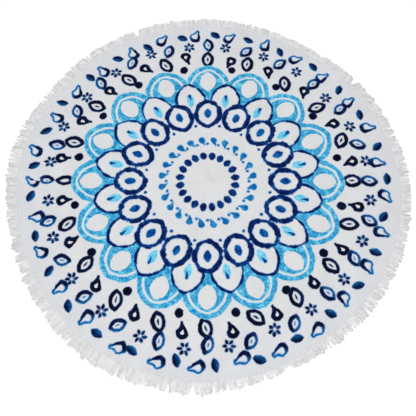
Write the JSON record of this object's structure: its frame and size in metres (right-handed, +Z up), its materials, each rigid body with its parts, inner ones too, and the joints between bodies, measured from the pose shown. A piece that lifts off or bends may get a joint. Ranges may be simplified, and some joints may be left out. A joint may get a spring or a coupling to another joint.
{
  "type": "round beach towel",
  "caption": "Round terry beach towel lying flat, with a hemmed edge and a brush fringe of cotton yarn sewn all round it.",
  "frame": {"origin": "centre of the towel's underside, on the surface that it lies on", "axes": "+Z up out of the printed side, +Y away from the picture's viewer, +X to the viewer's right"},
  "size_m": [1.5266, 1.5131, 0.0051],
  "materials": {
    "printed_terry": "matt cotton velour, white, printed on its upper side in navy, royal blue and cyan",
    "fringe_yarn": "matt white cotton yarn, loosely twisted"
  },
  "bodies": {
    "root": {"towel_cloth": "printed_terry", "fringe_trim": "fringe_yarn"}
  },
  "joints": []
}
